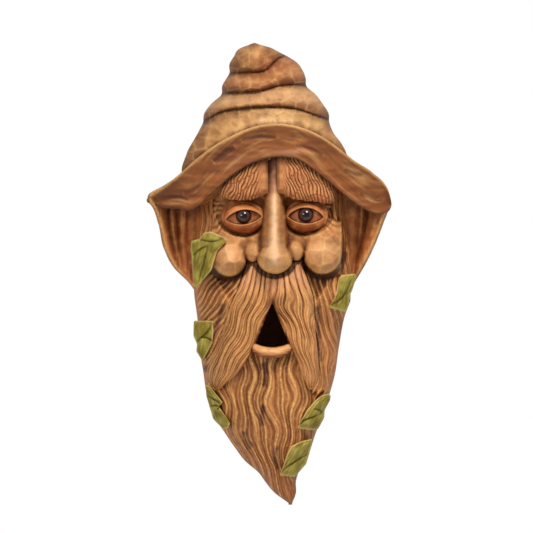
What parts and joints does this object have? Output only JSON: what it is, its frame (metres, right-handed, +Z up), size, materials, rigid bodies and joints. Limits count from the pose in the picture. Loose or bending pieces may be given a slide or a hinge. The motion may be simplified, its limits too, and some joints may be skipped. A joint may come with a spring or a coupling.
{
  "type": "tree face birdhouse",
  "caption": "Hanging garden birdhouse cast as a tree spirit's face with a floppy hat and long beard; its open mouth is the birds' entrance.",
  "frame": {"origin": "on the flat back, on its midline, just above the hanging slot, where the wall or trunk carries it", "axes": "+Z up along the height, +Y out of the flat back into the wall, so the face looks along -Y; +X to the right seen from the front"},
  "size_m": [0.2116, 0.1174, 0.4],
  "materials": {
    "painted_resin": "hand-painted cast resin, satin",
    "leaf_paint": "hand-painted cast resin, satin",
    "back_resin": "plain painted resin, matte",
    "eye_bead": "glossy dark bead"
  },
  "bodies": {
    "root": {"body": "painted_resin", "back_panel": "back_resin", "eye_left": "eye_bead", "eye_right": "eye_bead"}
  },
  "joints": []
}
